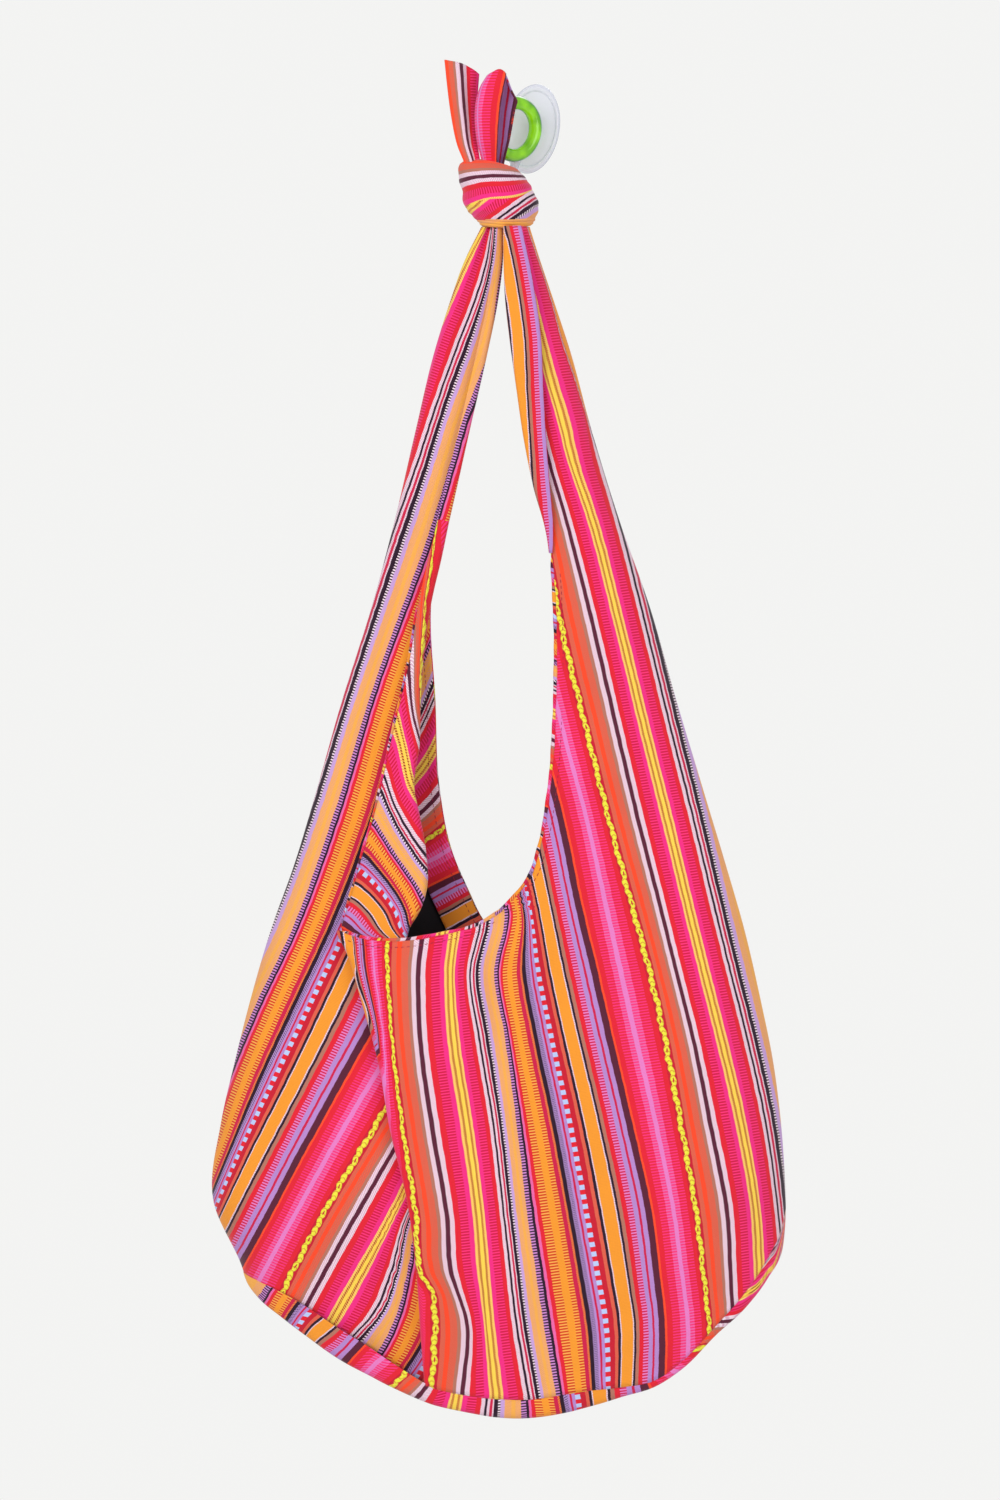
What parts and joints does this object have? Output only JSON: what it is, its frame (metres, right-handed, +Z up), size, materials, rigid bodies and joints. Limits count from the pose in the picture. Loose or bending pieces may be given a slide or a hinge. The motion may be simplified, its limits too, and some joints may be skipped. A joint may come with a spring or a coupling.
{
  "type": "striped cotton sling bag on a wall hook",
  "caption": "Hobo sling bag of striped woven cotton, its strap ends tied in a knot, hung on a wall plate with a ring hook.",
  "frame": {"origin": "middle of the hook plate's back face, which lies on the wall", "axes": "+X to the right as seen from the room, +Y into the wall, +Z up"},
  "size_m": [0.3797, 0.0927, 0.8943],
  "materials": {
    "striped_cotton": "matt woven cotton with narrow bright stripes",
    "black_lining": "matt black plain weave",
    "clear_plastic": "clear, slightly bluish, polished",
    "green_plastic": "see-through bright green, polished"
  },
  "bodies": {
    "root": {"front_panel": "striped_cotton", "back_panel": "striped_cotton", "base_panel": "striped_cotton", "flap_facing": "striped_cotton", "back_facing": "striped_cotton", "lining": "black_lining", "knot": "striped_cotton", "tail_left": "striped_cotton", "tail_right": "striped_cotton", "hook_plate": "clear_plastic", "hook_ring": "green_plastic"}
  },
  "joints": []
}
